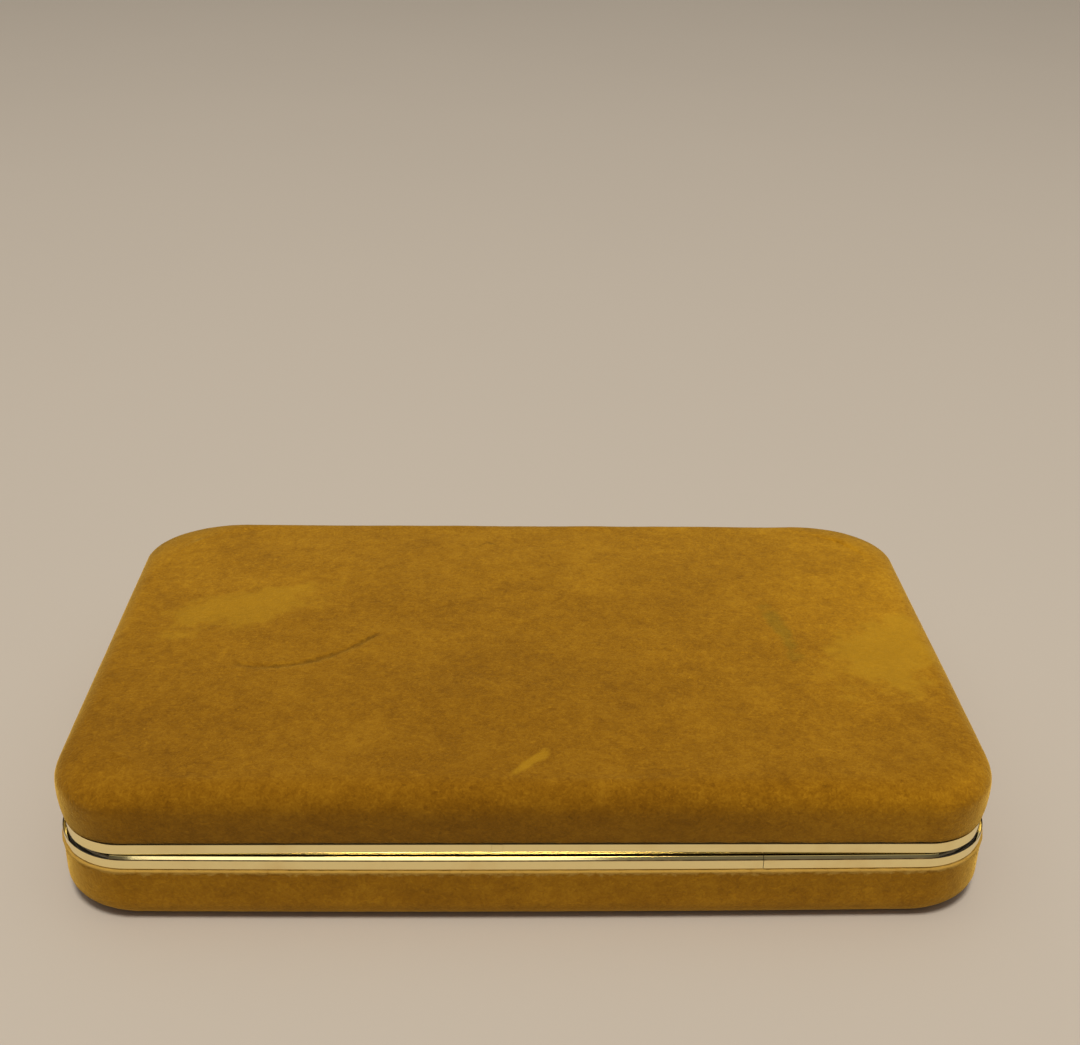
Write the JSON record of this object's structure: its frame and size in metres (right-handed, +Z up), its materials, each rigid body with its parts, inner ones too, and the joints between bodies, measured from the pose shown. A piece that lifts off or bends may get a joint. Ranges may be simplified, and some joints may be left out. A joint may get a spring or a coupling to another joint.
{
  "type": "jewelry presentation box",
  "caption": "Low rounded rectangular velvet-covered jewelry case with gold metal rims, a hinged lid that snaps open and shut, and a lift-out display pad.",
  "frame": {"origin": "middle of the underside, on the surface the case stands on", "axes": "+X along the case's length, -Y towards its front, +Z up"},
  "size_m": [0.19, 0.1183, 0.0325],
  "materials": {
    "velvet_gold": "short mustard-gold velvet pile, brushed in patches",
    "trim_gold": "pale gold-coloured plate, polished, slightly worn",
    "shell_steel": "pressed tinplate, dull",
    "satin_ivory": "ivory acetate satin",
    "velvet_cream": "short cream velvet",
    "card": "grey-brown card",
    "wadding": "cotton wadding",
    "hinge_brass": "stamped brass, satin",
    "spring_steel": "blued flat spring steel",
    "ribbon": "gold satin ribbon"
  },
  "bodies": {
    "base": {"base_velvet": "velvet_gold", "base_shell": "shell_steel", "base_rim": "trim_gold", "tray_lining": "satin_ivory", "hinge_left_base_leaf": "hinge_brass", "hinge_right_base_leaf": "hinge_brass", "hinge_left_pin": "hinge_brass", "hinge_right_pin": "hinge_brass", "snap_spring_left": "spring_steel", "snap_spring_right": "spring_steel"},
    "lid": {"lid_velvet": "velvet_gold", "lid_wadding": "wadding", "lid_shell": "shell_steel", "lid_rim": "trim_gold", "lid_rim_joint": "trim_gold", "lid_side_lining": "satin_ivory", "lid_satin_pad": "satin_ivory", "lid_lining_board": "card", "hinge_left_lid_leaf": "hinge_brass", "hinge_right_lid_leaf": "hinge_brass"},
    "insert": {"display_pad": "velvet_cream", "pad_board": "card", "pull_ribbon": "ribbon"}
  },
  "joints": [
    {"name": "lid_hinge", "type": "hinge", "parent": "base", "child": "lid", "pos_m": [0, 0.0582, 0.01605], "axis": [-1, 0, 0], "range_deg": [0, 100], "deforming": ["snap_spring_left", "snap_spring_right"]},
    {"name": "insert_lift", "type": "slide", "parent": "base", "child": "insert", "axis": [0, 0, 1], "range_m": [0, 0.006]}
  ]
}
